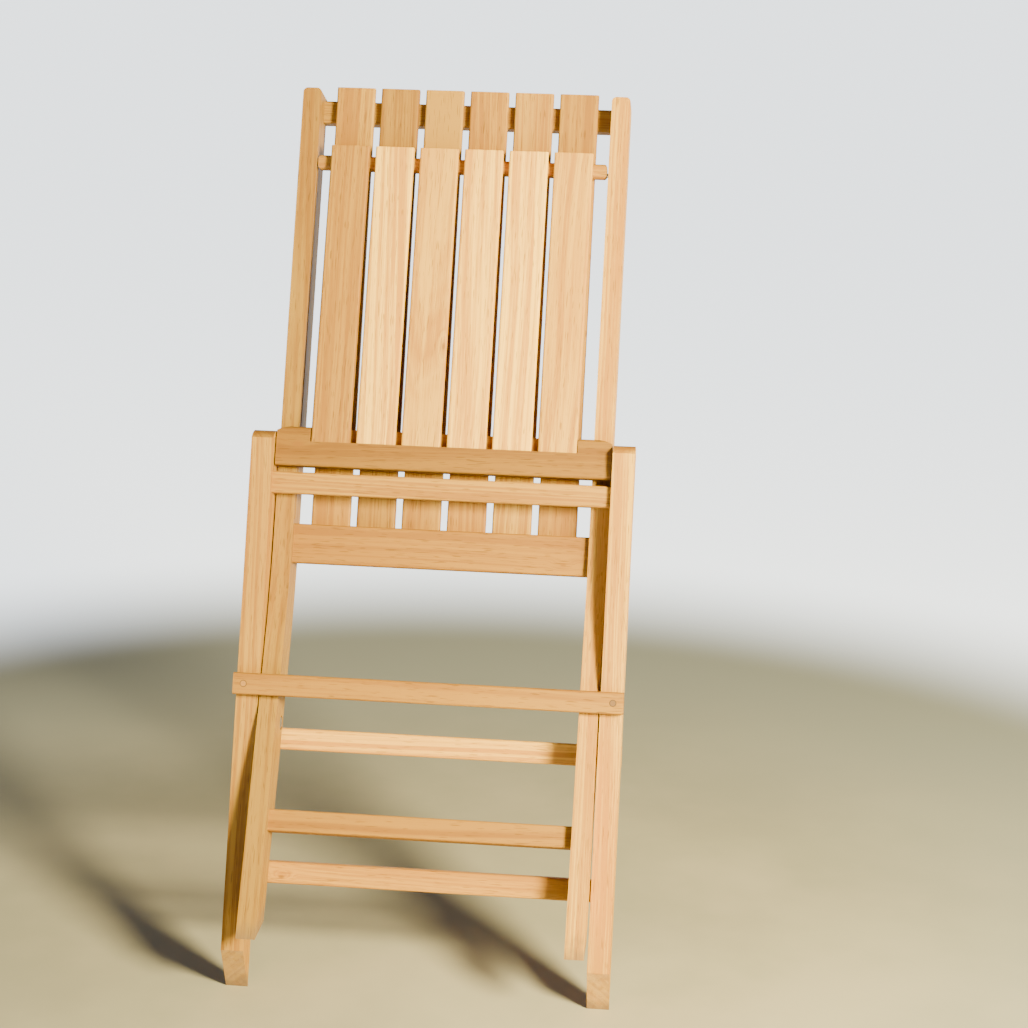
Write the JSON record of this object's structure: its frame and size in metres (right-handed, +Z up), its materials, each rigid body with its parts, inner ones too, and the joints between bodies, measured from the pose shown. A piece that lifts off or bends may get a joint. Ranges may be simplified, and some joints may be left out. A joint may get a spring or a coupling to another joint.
{
  "type": "folding deck chair",
  "caption": "Folding hardwood garden chair with a slatted back and seat that folds flat on crossed side frames.",
  "frame": {"origin": "centre of the bounding box's underside: on the floor under the folded chair, on its plane of symmetry, half-way front to back", "axes": "+X to the right seen from the front, +Y to the back, +Z up. The chair is folded. The back leans back 21.0 degrees, as it does when the chair stands open."},
  "size_m": [0.448, 0.463, 1.003],
  "materials": {
    "wood_frame": "planed hardwood, lightly oiled, satin",
    "wood_slat": "planed hardwood slats, lightly oiled, each board its own tone",
    "wood_plug": "end-grain plugs glued flush over the screw heads",
    "steel": "zinc-plated steel, dull"
  },
  "bodies": {
    "back_frame": {"back_post_left": "wood_frame", "back_post_right": "wood_frame", "back_top_rail": "wood_frame", "back_lower_rail": "wood_frame", "back_stretcher": "wood_frame", "back_slat_1": "wood_slat", "back_slat_2": "wood_slat", "back_slat_3": "wood_slat", "back_slat_4": "wood_slat", "back_slat_5": "wood_slat", "back_slat_6": "wood_slat", "back_slat_screws": "steel", "pivot_bolts": "steel", "pivot_washers": "steel", "pivot_nuts": "steel"},
    "leg_frame": {"leg_left": "wood_frame", "leg_right": "wood_frame", "leg_top_rail": "wood_frame", "leg_bottom_rail": "wood_frame", "front_stop_bar": "wood_frame", "rear_stop_bar": "wood_frame", "stop_bar_screws": "steel", "stop_bar_plugs": "wood_plug", "seat_hinge_pins": "steel"},
    "seat": {"seat_front_rail": "wood_frame", "seat_rear_batten": "wood_frame", "seat_slat_1": "wood_slat", "seat_slat_2": "wood_slat", "seat_slat_3": "wood_slat", "seat_slat_4": "wood_slat", "seat_slat_5": "wood_slat", "seat_slat_6": "wood_slat", "seat_slat_screws": "steel", "seat_guide_pins": "steel"}
  },
  "joints": [
    {"name": "leg_pivot", "type": "hinge", "parent": "back_frame", "child": "leg_frame", "pos_m": [0, -0.07281, 0.295], "axis": [1, 0, 0], "range_deg": [0, 65.5]},
    {"name": "seat_hinge", "type": "hinge", "parent": "leg_frame", "child": "seat", "pos_m": [0, 0.02947, 0.61029], "axis": [1, 0, 0], "range_deg": [-131, 0]}
  ],
  "couplings": [
    {"joint": "seat_hinge", "follows": "leg_pivot", "ratio": -2}
  ]
}
